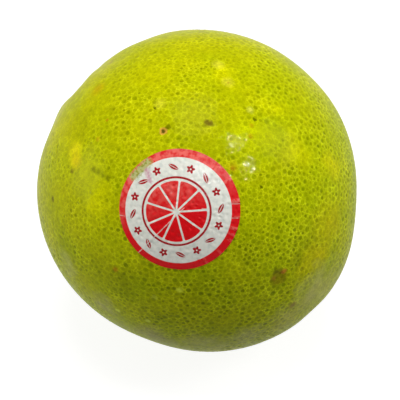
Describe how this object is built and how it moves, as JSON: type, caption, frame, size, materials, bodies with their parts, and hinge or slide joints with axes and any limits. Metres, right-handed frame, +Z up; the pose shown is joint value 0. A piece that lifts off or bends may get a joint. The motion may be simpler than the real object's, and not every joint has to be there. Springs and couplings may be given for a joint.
{
  "type": "grapefruit",
  "caption": "Whole green grapefruit of the pomelo type, as picked, lying on its flank, with its stem button and a round sticker with a plain design.",
  "frame": {"origin": "on the flat spot that the fruit rests on, straight under its centre of mass", "axes": "+Z up, -Y towards the side with the sticker; the stem end points up and back to the left, at azimuth 143 and elevation 32 degrees"},
  "size_m": [0.1437, 0.1439, 0.1429],
  "materials": {
    "rind": "yellow-green citrus rind with close oil pits, waxy and mildly glossy, with a few brown scars",
    "stem": "dry green-brown calyx and pale cut wood, matt",
    "sticker": "thin label of coated paper or film, printed in red on white, satin, with a crease and a rubbed patch"
  },
  "bodies": {
    "root": {"grapefruit_body": "rind", "stem_button": "stem", "round_sticker": "sticker"}
  },
  "joints": []
}
